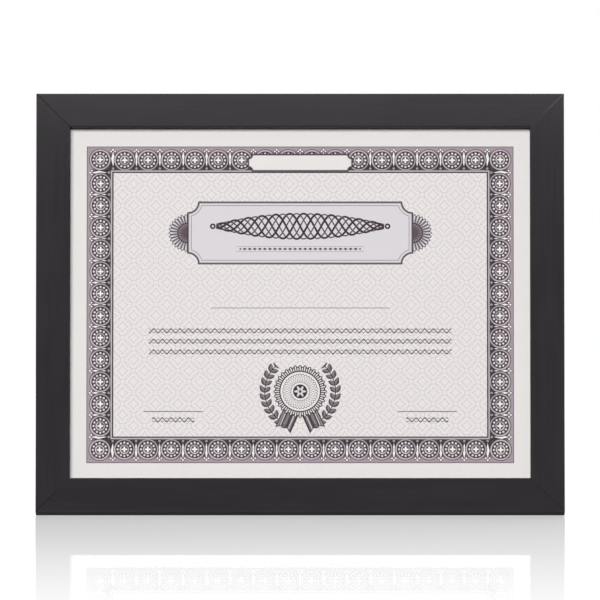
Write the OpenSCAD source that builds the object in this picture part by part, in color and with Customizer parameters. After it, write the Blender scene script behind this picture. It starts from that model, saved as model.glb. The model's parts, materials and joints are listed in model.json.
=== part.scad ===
// Landscape certificate frame on an easel strut, in millimetres.
//
// The frame is laid out upright: X across, Y from the rails' front face to their back, Z up from the bottom edge.
// lean_back() then tips it about the back edge of the bottom rail, so that it stands on that edge and the strut.

/* [Sheet] */
// Width of the sheet that the frame holds
sheet_w = 279.4; // [200:0.1:420]
// Height of the sheet
sheet_h = 215.9; // [150:0.1:300]
// Thickness of the sheet
sheet_t = 0.3; // [0.1:0.05:0.6]
// How far the lip covers each edge of the sheet
sheet_overlap = 3; // [2:0.1:8]
// Clearance round the sheet, glass and boards in the rabbet
insert_gap = 0.8; // [0.3:0.1:1.5]

/* [Rails] */
// Width of a rail's front face
face_w = 20.3; // [16:0.1:40]
// Depth of a rail from front to back
rail_depth = 18; // [15:0.1:30]
// Rounding of the outer front edge
outer_arris = 0.8; // [0.3:0.1:2]
// Rounding of the inner front edge
inner_arris = 1.2; // [0.3:0.1:2]

/* [Layers in the rabbet] */
// Thickness of the glass
glass_t = 2; // [1:0.1:3]
// Thickness of the filler board behind the sheet
filler_t = 3.2; // [1:0.1:4]
// Thickness of the back panel
panel_t = 3.2; // [2:0.1:5]
// How far the back panel lies in from the rails' back faces
panel_recess = 0.3; // [0.1:0.1:1]

/* [Corner nails] */
// How deep the nails are driven
nail_depth = 7; // [4:0.5:10]
// Thickness of a nail's strip
nail_strip = 0.6; // [0.4:0.1:1]
// Reach of a wing along the mitre and across it
nail_wing = [2.2, 3.6];
// Distance of the first nail of a mitre from the frame's outer edges
nail_first = 4.6; // [3:0.1:7]
// Distance from the first nail to the second
nail_step = 5.6; // [4:0.1:8]

/* [Turn buttons] */
// Thickness of a turn button
button_t = 1.2; // [0.8:0.1:2]
// Width of a turn button
button_w = 7; // [5:0.1:10]
// Reach of a turn button from its screw to the tip over the panel
button_reach = 10; // [8:0.1:12]
// Reach of a turn button behind its screw
button_tail = 4.2; // [3:0.1:6]
// Distance of a button's screw from the rail's outer edge
button_inset = 10.3; // [9:0.1:12]
// Distance between the two buttons of a long rail
button_spread = 160; // [100:1:220]
// Radius of a button screw's shank
screw_r = 1.3; // [1:0.05:2]
// Length of a button screw under its head
screw_len = 12; // [8:0.5:15]
// Radius of a button screw's head
screw_head_r = 2.8; // [2.2:0.1:3.5]
// Height of a button screw's head
screw_head_h = 1.6; // [1:0.1:2.5]

/* [Easel] */
// Angle at which the frame leans back
lean = 10; // [6:0.5:14]
// Height of the strut's hinge above the bottom edge
hinge_height = 175; // [150:1:190]
// Angle of the open strut to the back panel
open_angle = 19; // [14:0.5:24]
// Thickness of the strut
strut_t = 2.5; // [2:0.1:4]
// Width of the strut at its hinge
strut_top_w = 36; // [30:1:60]
// Width of the strut at its foot
strut_foot_w = 64; // [45:1:90]
// Gap between the back panel and the folded strut, which takes the ribbon and its staples
fold_gap = 1.3; // [1.2:0.1:3]
// Width of the arch cut in the foot
arch_w = 34; // [20:1:40]
// Height of the arch cut in the foot
arch_h = 4; // [2:0.5:8]

/* [Hinge] */
// Radius of the hinge pin
pin_r = 1.25; // [1:0.05:1.5]
// Wall of a knuckle
knuckle_wall = 0.85; // [0.6:0.05:1.2]
// Thickness of a leaf
leaf_t = 0.8; // [0.5:0.05:1]
// Width of the fixed leaf and length of the pin
leaf_w = 40; // [34:1:60]
// Width of the moving leaf
moving_leaf_w = 30; // [24:1:34]
// Height of the fixed leaf above the pin
fixed_leaf_h = 16; // [12:0.5:24]
// Length of the moving leaf below the pin
moving_leaf_h = 22; // [14:0.5:30]
// Width of the middle knuckle, which belongs to the moving leaf
middle_knuckle_w = 14; // [10:0.5:20]
// Radius of a rivet's shank
rivet_r = 1.2; // [0.8:0.1:2]
// Radius of a rivet's head
rivet_head_r = 2.6; // [2:0.1:4]
// Height of a rivet's head
rivet_head_h = 0.9; // [0.6:0.1:1.5]
// Distance between the two rivets of a leaf
rivet_spread = 20; // [16:1:22]

/* [Ribbon stay] */
// Width of the ribbon
ribbon_w = 12; // [10:0.5:20]
// Thickness of the ribbon
ribbon_t = 0.3; // [0.2:0.05:0.5]
// Length of the ribbon's end that lies on the panel or the strut
ribbon_tab = 9; // [7:0.5:14]
// Height above the bottom edge where the ribbon leaves the panel
ribbon_panel_z = 44; // [38:1:60]
// Distance from the hinge pin where the ribbon leaves the strut
ribbon_strut_drop = 128; // [110:1:140]
// Width of a staple
staple_w = 8; // [6:0.5:9]
// Thickness of a staple's wire
staple_wire = 0.5; // [0.3:0.1:0.8]
// How deep a staple's legs go into the board
staple_leg = 1.8; // [1:0.1:2]

/* [Sawtooth hangers] */
// Length of a hanger
hanger_len = 44; // [36:1:60]
// Width of a hanger
hanger_w = 9.5; // [8:0.1:12]
// Thickness of a hanger's plate
hanger_t = 0.8; // [0.6:0.1:1.2]
// Height that the toothed middle stands off the rail
hanger_rise = 1.4; // [1:0.1:2]
// Length of a hanger's flat end
hanger_end = 8; // [7:0.5:10]
// Distance between teeth
tooth_pitch = 3; // [2:0.1:4]
// Depth of the teeth
tooth_depth = 1.6; // [1:0.1:2]
// Distance of a hanger's middle from the rail's outer edge
hanger_inset = 8.2; // [7:0.1:10]
// Distance of the side hanger above the middle of its rail
side_hanger_up = 52; // [40:1:80]
// Radius of a brad's shank
brad_r = 0.7; // [0.5:0.05:1]
// Radius of a brad's head
brad_head_r = 1.7; // [1.2:0.1:2.2]
// Height of a brad's head
brad_head_h = 0.6; // [0.4:0.1:1]
// Length of a brad under its head
brad_len = 9; // [6:0.5:12]

/* [Wall bumpers] */
// Radius of a bumper
bumper_r = 5; // [4:0.5:7]
// Thickness of a bumper
bumper_t = 2; // [1.5:0.1:3]
// Distance of a bumper's middle from the frame's outer edges
bumper_inset = 8; // [8:0.5:10]

/* [Hidden] */
// Radial clearance of a fixed shank in its hole
hole_gap = 0.03;
// Radial clearance of a shaft that something turns on
running_gap = 0.05;
// Clearance beside a part that moves
side_gap = 0.3;
// Overshoot of a cutter past the face that it cuts
past = 1;
arc_steps = 6;
$fn = 48;

wood = [0.2, 0.19, 0.2];
board = [0.13, 0.12, 0.12];
card = [0.72, 0.66, 0.57];
paper = [0.9, 0.88, 0.88];
pane = [0.8, 0.9, 0.88, 0.35];
zinc = [0.7, 0.71, 0.72];
satin = [0.16, 0.15, 0.17];
felt = [0.3, 0.29, 0.29];

// Outline of the frame
lip_w = sheet_overlap + insert_gap;
frame_w = sheet_w - 2 * sheet_overlap + 2 * face_w;
frame_h = sheet_h - 2 * sheet_overlap + 2 * face_w;

// Depths of the layers' front faces, from the rails' front face
stack_t = glass_t + sheet_t + filler_t + panel_t + panel_recess;
glass_y = rail_depth - stack_t;
sheet_y = glass_y + glass_t;
filler_y = sheet_y + sheet_t;
panel_y = filler_y + filler_t;
panel_back = panel_y + panel_t;

// Hinge and strut
bore_r = pin_r + running_gap;
barrel_r = bore_r + knuckle_wall;
strut_rear = barrel_r - leaf_t;
strut_front = strut_rear - strut_t;
barrel_y = panel_back + fold_gap - strut_front;
strut_start = barrel_r + side_gap;

// Middle of the part's box from front to back, once it leans
foot_drop = hinge_height * cos(lean) - (barrel_y - rail_depth) * sin(lean);
foot_len = foot_drop + strut_rear * sin(open_angle - lean);
foot_back = (barrel_y - rail_depth) * cos(lean) + hinge_height * sin(lean)
    + foot_len * tan(open_angle - lean) + strut_rear * cos(open_angle - lean);
nose_front = outer_arris + (rail_depth - outer_arris) * cos(lean) - outer_arris * sin(lean);
middle_y = (foot_back - nose_front) / 2;

// Each turn button: node, X, Z and the direction of its tip
top_z = frame_h - button_inset;
side_x = frame_w / 2 - button_inset;
buttons = [
    ["turn_button_top_left", -button_spread / 2, top_z, -90],
    ["turn_button_top_right", button_spread / 2, top_z, -90],
    ["turn_button_bottom_left", -button_spread / 2, button_inset, 90],
    ["turn_button_bottom_right", button_spread / 2, button_inset, 90],
    ["turn_button_left", -side_x, frame_h / 2, 0],
    ["turn_button_right", side_x, frame_h / 2, 180]
];

// Each hanger: X, Z and turn of its toothed edge away from straight down
hanger_top = [0, frame_h - hanger_inset, 0];
hanger_side = [-frame_w / 2 + hanger_inset, frame_h / 2 + side_hanger_up, 90];

// Points of a quarter arc about c, from angle a to angle b
function arc(c, r, a, b) = [for (i = [0:arc_steps]) let (t = a + (b - a) * i / arc_steps) c + r * [cos(t), sin(t)]];

// Tips the upright frame back about its back bottom edge, and centres it from front to back
module lean_back() {
    translate([0, -middle_y, 0]) rotate([-lean, 0, 0]) translate([0, -rail_depth, 0]) children();
}

// Turns the strut's own frame, with the pin at the origin, Y out of its rear face and Z up along it
module at_strut(angle = open_angle) {
    translate([0, barrel_y, hinge_height]) rotate([angle, 0, 0]) children();
}

// A flat shape drawn in X and Z, from depth y0 to depth y1
module plate(y0, y1) {
    translate([0, y1, 0]) rotate([90, 0, 0]) linear_extrude(y1 - y0) children();
}

// A round bar along Y, from depth y0 to depth y1
module rod(r, y0, y1) {
    translate([0, y1, 0]) rotate([90, 0, 0]) cylinder(r = r, h = y1 - y0);
}

// A domed head whose flat side lies at depth y
module dome(r, h, y) {
    ball = (r * r + h * h) / (2 * h);
    intersection() {
        rod(r, y, y + h);
        translate([0, y + h - ball, 0]) sphere(r = ball);
    }
}

// Rails

// Section of a rail: depth from the front face, and distance in from the outer edge
rail_section = concat(
    arc([outer_arris, outer_arris], outer_arris, 270, 180),
    arc([inner_arris, face_w - inner_arris], inner_arris, 180, 90),
    [[glass_y, face_w], [glass_y, face_w - lip_w], [rail_depth, face_w - lip_w], [rail_depth, 0]]
);

module mitred_rail(length) {
    intersection() {
        rotate([90, 0, 90]) linear_extrude(length, center = true) polygon(rail_section);
        plate(-past, rail_depth + past)
            polygon([[-length / 2, 0], [length / 2, 0], [length / 2 - face_w, face_w], [face_w - length / 2, face_w]]);
    }
}

module horizontal_rail() {
    difference() {
        mitred_rail(frame_w);
        children();
    }
}

module upright_rail() {
    difference() {
        translate([-frame_w / 2, 0, frame_h / 2]) rotate([0, 90, 0]) mitred_rail(frame_h);
        children();
    }
}

module rail_bottom() {
    color(wood) lean_back() horizontal_rail() {
        corner_nail_strips(rail_depth + past);
        button_screw_holes();
    }
}

module rail_top() {
    color(wood) lean_back() difference() {
        translate([0, 0, frame_h]) mirror([0, 0, 1]) mitred_rail(frame_w);
        corner_nail_strips(rail_depth + past);
        button_screw_holes();
        at_hanger(hanger_top) hanger_brads(hole_gap);
    }
}

module rail_left() {
    color(wood) lean_back() upright_rail() {
        corner_nail_strips(rail_depth + past);
        button_screw_holes();
        at_hanger(hanger_side) hanger_brads(hole_gap);
    }
}

module rail_right() {
    color(wood) lean_back() mirror([1, 0, 0]) upright_rail() {
        corner_nail_strips(rail_depth + past);
        button_screw_holes();
    }
}

// V-shaped nails across the mitres, driven from the back

module nail_strip_shape() {
    along = nail_wing[0];
    across = nail_wing[1];
    polygon([[0, 0], [along, across], [along + nail_strip, across], [nail_strip, 0], [along + nail_strip, -across], [along, -across]]);
}

module corner_nail_strips(end_y) {
    for (sx = [0, 1], sz = [0, 1], k = [0, 1])
        translate([0, 0, frame_h / 2]) mirror([sx, 0, 0]) mirror([0, 0, sz])
            translate([nail_first + k * nail_step - frame_w / 2, 0, nail_first + k * nail_step - frame_h / 2])
                rotate([0, -45, 0]) plate(rail_depth - nail_depth, end_y) nail_strip_shape();
}

module corner_nails() {
    color(zinc) lean_back() corner_nail_strips(rail_depth - panel_recess);
}

// Layers in the rabbet

module layer(y, t) {
    translate([-sheet_w / 2, y, (frame_h - sheet_h) / 2]) cube([sheet_w, t, sheet_h]);
}

module glass() {
    color(pane) lean_back() layer(glass_y, glass_t);
}

module certificate() {
    color(paper) lean_back() layer(sheet_y, sheet_t);
}

module filler_board() {
    color(card) lean_back() layer(filler_y, filler_t);
}

module back_panel() {
    color(board) lean_back() difference() {
        layer(panel_y, panel_t);
        at_panel_rivets() rod(rivet_r + hole_gap, panel_y - past, panel_back + past);
        panel_staple_wire();
    }
}

// Turn buttons and the screws that they turn on

module turn_button(b) {
    color(zinc) lean_back() translate([b[1], 0, b[2]]) rotate([0, -b[3], 0]) plate(rail_depth, rail_depth + button_t)
        difference() {
            union() {
                translate([button_reach - button_w / 2, 0]) circle(d = button_w);
                translate([button_w / 2 - button_tail, 0]) circle(d = button_w);
                translate([button_w / 2 - button_tail, -button_w / 2])
                    square([button_reach + button_tail - button_w, button_w]);
            }
            circle(r = screw_r + running_gap);
        }
}

module button_screw_holes() {
    for (b = buttons)
        translate([b[1], 0, b[2]]) rod(screw_r + hole_gap, rail_depth + button_t - screw_len, rail_depth + past);
}

module cross_recess(r, y) {
    for (a = [45, 135])
        rotate([0, a, 0]) translate([-r, y, -r / 6]) cube([2 * r, past + r, r / 3]);
}

module button_screws() {
    head_y = rail_depth + button_t;
    color(zinc) lean_back() for (b = buttons) translate([b[1], 0, b[2]]) difference() {
        union() {
            rod(screw_r, head_y - screw_len, head_y);
            dome(screw_head_r, screw_head_h, head_y);
        }
        cross_recess(screw_head_r * 0.6, head_y + screw_head_h * 0.4);
    }
}

// Sawtooth hangers and their brads

module at_hanger(h) {
    translate([h[0], rail_depth, h[1]]) rotate([0, -h[2], 0]) children();
}

// Top view of the plate: flat ends, and a middle that stands off the rail
module hanger_plate_section() {
    half = hanger_len / 2;
    flat = half - hanger_end;
    mid = flat - hanger_rise;
    polygon([
        [-half, 0], [-flat, 0], [-mid, hanger_rise], [mid, hanger_rise], [flat, 0], [half, 0],
        [half, hanger_t], [flat + hanger_t / 2, hanger_t], [mid + hanger_t / 2, hanger_rise + hanger_t],
        [-mid - hanger_t / 2, hanger_rise + hanger_t], [-flat - hanger_t / 2, hanger_t], [-half, hanger_t]
    ]);
}

module sawtooth_hanger() {
    teeth = floor((hanger_len / 2 - hanger_end - hanger_rise) / tooth_pitch);
    difference() {
        translate([0, 0, -hanger_w / 2]) linear_extrude(hanger_w) hanger_plate_section();
        plate(-past, hanger_rise + hanger_t + past) for (i = [-teeth:teeth - 1])
            translate([(i + 0.5) * tooth_pitch, -hanger_w / 2])
                polygon([[-tooth_pitch / 2, -past], [-tooth_pitch / 2, 0], [0, tooth_depth], [tooth_pitch / 2, 0],
                    [tooth_pitch / 2, -past]]);
        at_brads() rod(brad_r + hole_gap, -past, hanger_t + past);
    }
}

module at_brads() {
    for (side = [-1, 1]) translate([side * (hanger_len - hanger_end) / 2, 0, 0]) children();
}

module hanger_brads(gap) {
    at_brads() rod(brad_r + gap, hanger_t - brad_len, hanger_t);
}

module sawtooth_top() {
    color(zinc) lean_back() at_hanger(hanger_top) sawtooth_hanger();
}

module sawtooth_side() {
    color(zinc) lean_back() at_hanger(hanger_side) sawtooth_hanger();
}

module hanger_nails() {
    color(zinc) lean_back() for (h = [hanger_top, hanger_side]) at_hanger(h) {
        hanger_brads(0);
        at_brads() dome(brad_head_r, brad_head_h, hanger_t);
    }
}

// Bumpers at the lower corners of the back

module wall_bumpers() {
    color(felt) lean_back() for (side = [-1, 1])
        translate([side * (frame_w / 2 - bumper_inset), 0, bumper_inset]) rod(bumper_r, rail_depth, rail_depth + bumper_t);
}

// Hinge of the strut

module knuckle(x0, x1) {
    translate([x0, 0, 0]) rotate([0, 90, 0]) cylinder(r = barrel_r, h = x1 - x0);
}

module knuckle_bore() {
    translate([-leaf_w, 0, 0]) rotate([0, 90, 0]) cylinder(r = bore_r, h = 2 * leaf_w);
}

module at_panel_rivets() {
    for (side = [-1, 1])
        translate([side * rivet_spread / 2, 0, hinge_height + (barrel_r + fixed_leaf_h) / 2]) children();
}

module at_strut_rivets() {
    for (side = [-1, 1]) translate([side * rivet_spread / 2, 0, -(barrel_r + moving_leaf_h) / 2]) children();
}

module hinge_fixed_leaf() {
    inner = middle_knuckle_w / 2 + side_gap;
    color(zinc) lean_back() difference() {
        union() {
            for (side = [0, 1]) mirror([side, 0, 0]) {
                translate([0, barrel_y, hinge_height]) knuckle(inner, leaf_w / 2);
                plate(panel_back, panel_back + leaf_t)
                    translate([inner, hinge_height]) square([leaf_w / 2 - inner, fixed_leaf_h]);
                plate(panel_back, barrel_y)
                    translate([inner, hinge_height + barrel_r - leaf_t]) square([leaf_w / 2 - inner, leaf_t]);
            }
            plate(panel_back, panel_back + leaf_t) translate([-leaf_w / 2, hinge_height + strut_start])
                square([leaf_w, fixed_leaf_h - strut_start]);
        }
        translate([0, barrel_y, hinge_height]) knuckle_bore();
        at_panel_rivets() rod(rivet_r + hole_gap, panel_back - past, panel_back + leaf_t + past);
    }
}

module hinge_moving_leaf() {
    half = middle_knuckle_w / 2;
    color(zinc) lean_back() at_strut() difference() {
        union() {
            knuckle(-half, half);
            plate(strut_rear, strut_rear + leaf_t) {
                translate([-half, -moving_leaf_h]) square([2 * half, moving_leaf_h]);
                translate([-moving_leaf_w / 2, -moving_leaf_h]) square([moving_leaf_w, moving_leaf_h - strut_start]);
            }
        }
        knuckle_bore();
        at_strut_rivets() rod(rivet_r + hole_gap, strut_rear - past, strut_rear + leaf_t + past);
    }
}

module hinge_pin() {
    color(zinc) lean_back() translate([-leaf_w / 2, barrel_y, hinge_height]) rotate([0, 90, 0])
        cylinder(r = pin_r, h = leaf_w);
}

module rivet(y0, y1) {
    rod(rivet_r, y0, y1);
    dome(rivet_head_r, rivet_head_h, y1);
}

module panel_rivets() {
    color(zinc) lean_back() at_panel_rivets() rivet(panel_y, panel_back + leaf_t);
}

module strut_rivets() {
    color(zinc) lean_back() at_strut() at_strut_rivets() rivet(strut_front, strut_rear + leaf_t);
}

// Strut: a board that widens to its foot, cut off level with the surface that it stands on

module strut_board(y0, y1) {
    reach = 2 * hinge_height;
    spread = (strut_foot_w - strut_top_w) / 2 * (reach - strut_start) / (hinge_height - strut_start);
    plate(y0, y1) polygon([
        [-strut_top_w / 2, -strut_start], [strut_top_w / 2, -strut_start],
        [strut_top_w / 2 + spread, -reach], [-strut_top_w / 2 - spread, -reach]
    ]);
}

module foot_arch() {
    arch_r = (arch_w * arch_w / 4 + arch_h * arch_h) / (2 * arch_h);
    translate([0, foot_back, arch_h - arch_r]) rotate([90, 0, 0]) cylinder(r = arch_r, h = 2 * foot_back, center = true);
}

module strut() {
    color(board) translate([0, -middle_y, 0]) difference() {
        translate([0, middle_y, 0]) lean_back() at_strut() difference() {
            strut_board(strut_front, strut_rear);
            at_strut_rivets() rod(rivet_r + hole_gap, strut_front - past, strut_rear + past);
            strut_staple_wire();
        }
        translate([-frame_w / 2, -frame_h, -frame_h]) cube([frame_w, 2 * frame_h, frame_h]);
        foot_arch();
    }
}

// Ribbon stay: a tab on the panel, a taut span and a tab on the strut, cut flush where it meets them

// Where the ribbon leaves the strut's front face, upright: depth and height
ribbon_end = [
    barrel_y + strut_front * cos(open_angle) + ribbon_strut_drop * sin(open_angle),
    hinge_height + strut_front * sin(open_angle) - ribbon_strut_drop * cos(open_angle)
];
ribbon_run = ribbon_end - [panel_back, ribbon_panel_z];
ribbon_angle = atan2(ribbon_run[1], ribbon_run[0]);

module ribbon_span() {
    translate([-ribbon_w / 2, panel_back, ribbon_panel_z]) rotate([ribbon_angle, 0, 0])
        translate([0, -past, 0]) cube([ribbon_w, norm(ribbon_run) + 2 * past, ribbon_t]);
}

module stay_ribbon() {
    color(satin) lean_back() difference() {
        union() {
            ribbon_span();
            translate([-ribbon_w / 2, panel_back, ribbon_panel_z - ribbon_tab])
                cube([ribbon_w, ribbon_t, ribbon_tab + ribbon_t]);
            at_strut() translate([-ribbon_w / 2, strut_front - ribbon_t, -ribbon_strut_drop - ribbon_tab])
                cube([ribbon_w, ribbon_t, ribbon_tab + ribbon_t]);
        }
        layer(panel_y, panel_t);
        at_strut() strut_board(strut_front, strut_rear);
        panel_staple_wire();
        at_strut() strut_staple_wire();
    }
}

// A staple over the ribbon's tab: its crown lies along X on the tab, and its legs go into the board at y = 0
module staple(into, tab) {
    translate([-staple_w / 2, 0, -staple_wire / 2]) {
        translate([0, tab, 0]) cube([staple_w, staple_wire, staple_wire]);
        for (x = [0, staple_w - staple_wire])
            translate([x, -into, 0]) cube([staple_wire, into + tab + staple_wire, staple_wire]);
    }
}

module panel_staple_wire() {
    translate([0, panel_back, ribbon_panel_z - ribbon_tab / 2]) staple(staple_leg, ribbon_t);
}

module strut_staple_wire() {
    translate([0, strut_front, -ribbon_strut_drop - ribbon_tab / 2]) mirror([0, 1, 0]) staple(staple_leg, ribbon_t);
}

module stay_staple_panel() {
    color(zinc) lean_back() panel_staple_wire();
}

module stay_staple_strut() {
    color(zinc) lean_back() at_strut() strut_staple_wire();
}

rail_top();
rail_bottom();
rail_left();
rail_right();
corner_nails();
glass();
certificate();
filler_board();
back_panel();
for (b = buttons) turn_button(b);
button_screws();
sawtooth_top();
sawtooth_side();
hanger_nails();
wall_bumpers();
hinge_fixed_leaf();
hinge_pin();
panel_rivets();
strut();
hinge_moving_leaf();
strut_rivets();
stay_ribbon();
stay_staple_panel();
stay_staple_strut();
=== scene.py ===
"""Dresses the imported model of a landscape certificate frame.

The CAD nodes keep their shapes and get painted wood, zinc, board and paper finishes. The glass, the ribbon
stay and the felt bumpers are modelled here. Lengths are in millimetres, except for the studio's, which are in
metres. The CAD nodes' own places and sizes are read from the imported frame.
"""
import json
import logging
import math
from dataclasses import dataclass, field
from enum import Enum
from typing import Any

import bmesh
import bpy
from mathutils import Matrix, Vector, noise


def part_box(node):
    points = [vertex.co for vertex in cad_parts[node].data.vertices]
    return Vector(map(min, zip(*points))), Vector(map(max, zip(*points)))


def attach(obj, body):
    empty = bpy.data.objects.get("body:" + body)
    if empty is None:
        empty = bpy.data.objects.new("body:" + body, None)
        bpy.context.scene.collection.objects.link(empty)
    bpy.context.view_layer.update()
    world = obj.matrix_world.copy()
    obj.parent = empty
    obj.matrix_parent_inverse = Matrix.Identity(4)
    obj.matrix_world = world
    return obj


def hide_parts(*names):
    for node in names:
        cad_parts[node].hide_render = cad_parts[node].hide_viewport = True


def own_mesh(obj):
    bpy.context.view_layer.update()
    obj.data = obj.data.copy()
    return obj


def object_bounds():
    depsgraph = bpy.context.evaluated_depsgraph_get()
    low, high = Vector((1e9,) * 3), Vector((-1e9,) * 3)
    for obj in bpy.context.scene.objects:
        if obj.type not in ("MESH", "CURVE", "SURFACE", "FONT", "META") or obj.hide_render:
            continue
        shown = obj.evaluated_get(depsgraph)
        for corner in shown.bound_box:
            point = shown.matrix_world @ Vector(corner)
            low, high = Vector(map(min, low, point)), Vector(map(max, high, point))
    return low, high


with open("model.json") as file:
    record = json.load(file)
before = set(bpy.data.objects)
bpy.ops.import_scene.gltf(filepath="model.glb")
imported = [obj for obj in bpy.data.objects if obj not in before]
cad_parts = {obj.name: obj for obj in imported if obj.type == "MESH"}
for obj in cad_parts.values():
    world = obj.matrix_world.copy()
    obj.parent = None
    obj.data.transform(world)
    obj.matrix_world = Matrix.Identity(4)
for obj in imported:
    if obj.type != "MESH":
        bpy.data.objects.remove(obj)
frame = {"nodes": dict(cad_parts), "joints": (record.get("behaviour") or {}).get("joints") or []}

CAD_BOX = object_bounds()
MM = 0.001
FULL_TURN = 2 * math.pi
WHITE = (1.0, 1.0, 1.0, 1.0)
CORNERS = ((-1, -1), (1, -1), (1, 1), (-1, 1))
NOISE_SPAN = (0.3, 0.7)
log = logging.getLogger("certificate_frame")

Socket = bpy.types.NodeSocket
Colour = tuple[float, float, float, float]
Grains = tuple[float, float, float]
Numbers = tuple[float, ...]


def tone(red: int, green: int, blue: int) -> Colour:
    """Turns a colour as a screen shows it into the linear colour that a shader takes.

    Args:
        red: Red, 0 to 255.
        green: Green, 0 to 255.
        blue: Blue, 0 to 255.

    Returns:
        The linear colour with an alpha of 1.
    """
    def linear(level: int) -> float:
        """One channel, by the sRGB curve."""
        share = level / 255
        return share / 12.92 if share <= 0.04045 else ((share + 0.055) / 1.055) ** 2.4

    return (linear(red), linear(green), linear(blue), 1.0)


@dataclass(frozen=True)
class Axes:
    """The leaning frame's own directions, and the middle of its sheet as their origin."""

    right: Vector
    up: Vector
    back: Vector
    middle: Vector

    @classmethod
    def of_frame(cls) -> "Axes":
        """Reads the axes from a turn button's joint and the sheet's box.

        Returns:
            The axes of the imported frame.
        """
        joint = next(j for j in frame["joints"] if j["name"] == "turn_left")
        right, back = Vector((1, 0, 0)), Vector(joint["axis"]).normalized()
        lowest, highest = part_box("certificate")
        return cls(right, right.cross(back), back, (lowest + highest) / 2)

    def point(self, across: float, up: float, deep: float) -> Vector:
        """A place in the scene, in metres, from distances off the sheet's middle."""
        return self.middle + (self.right * across + self.up * up + self.back * deep) * MM

    def extent(self, node: str, way: Vector) -> tuple[float, float]:
        """How far a CAD node reaches along a direction.

        Args:
            node: The CAD node's name.
            way: A unit direction.

        Returns:
            Its least and greatest distance from the sheet's middle.
        """
        places = [(v.co - self.middle).dot(way) / MM for v in frame["nodes"][node].data.vertices]
        return min(places), max(places)


AXES = Axes.of_frame()


class Value:
    """A number in a node tree. Arithmetic on it adds Math nodes."""

    def __init__(self, tree: "Tree", socket: Socket) -> None:
        """Wraps an output socket of a tree."""
        self.tree = tree
        self.socket = socket

    def __add__(self, other: "Number") -> "Value":
        """self + other."""
        return self.tree.maths("ADD", self, other)

    def __sub__(self, other: "Number") -> "Value":
        """self - other."""
        return self.tree.maths("SUBTRACT", self, other)

    def __rsub__(self, other: float) -> "Value":
        """other - self."""
        return self.tree.maths("SUBTRACT", other, self)

    def __mul__(self, other: "Number") -> "Value":
        """self * other."""
        return self.tree.maths("MULTIPLY", self, other)

    def __truediv__(self, other: "Number") -> "Value":
        """self / other."""
        return self.tree.maths("DIVIDE", self, other)

    def __pow__(self, power: float) -> "Value":
        """self to a power."""
        return self.tree.maths("POWER", self, power)

    def __rpow__(self, base: float) -> "Value":
        """A base to the power of self."""
        return self.tree.maths("POWER", base, self)

    def __lt__(self, other: "Number") -> "Value":
        """1 where self is less than other."""
        return self.tree.maths("LESS_THAN", self, other)

    def __gt__(self, other: "Number") -> "Value":
        """1 where self is greater than other."""
        return self.tree.maths("GREATER_THAN", self, other)

    def __and__(self, other: "Number") -> "Value":
        """The lesser, which is where both of two masks are."""
        return self.tree.maths("MINIMUM", self, other)

    def __or__(self, other: "Number") -> "Value":
        """The greater, which is where either of two masks is."""
        return self.tree.maths("MAXIMUM", self, other)

    def __abs__(self) -> "Value":
        """The size without its sign."""
        return self.tree.maths("ABSOLUTE", self)

    __radd__ = __add__
    __rmul__ = __mul__

    def fold(self, pitch: float) -> "Value":
        """The distance from the nearest multiple of pitch, with its sign."""
        return self.tree.maths("FLOORED_MODULO", self + pitch / 2, pitch) - pitch / 2

    def sine(self) -> "Value":
        """The sine of an angle in radians."""
        return self.tree.maths("SINE", self)

    def cosine(self) -> "Value":
        """The cosine of an angle in radians."""
        return self.tree.maths("COSINE", self)

    def length(self, other: "Value") -> "Value":
        """The distance that two offsets at right angles make."""
        return self.tree.maths("SQRT", self * self + other * other)

    def angle(self, other: "Value") -> "Value":
        """The angle of the offset (other, self), in radians."""
        return self.tree.maths("ARCTAN2", self, other)

    def inside(self, soft: float = 0.12) -> "Value":
        """1 where this distance is below zero and 0 above, soft over the edge."""
        return self.tree.maths("MULTIPLY_ADD", self, -1 / soft, 0.5, clamp=True)

    def line(self, half: float, soft: float = 0.12) -> "Value":
        """1 within half a line's width of zero."""
        return (abs(self) - half).inside(soft)

    def ramp(self, start: float, end: float) -> "Value":
        """A smooth step from 0 to 1.

        Args:
            start: Where it is 0.
            end: Where it is 1.

        Returns:
            The step.
        """
        sockets = {"Value": self, "From Min": start, "From Max": end}
        made = self.tree.node("MapRange", {"interpolation_type": "SMOOTHSTEP"}, sockets)
        return Value(self.tree, made.outputs[0])


Number = Value | float


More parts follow.
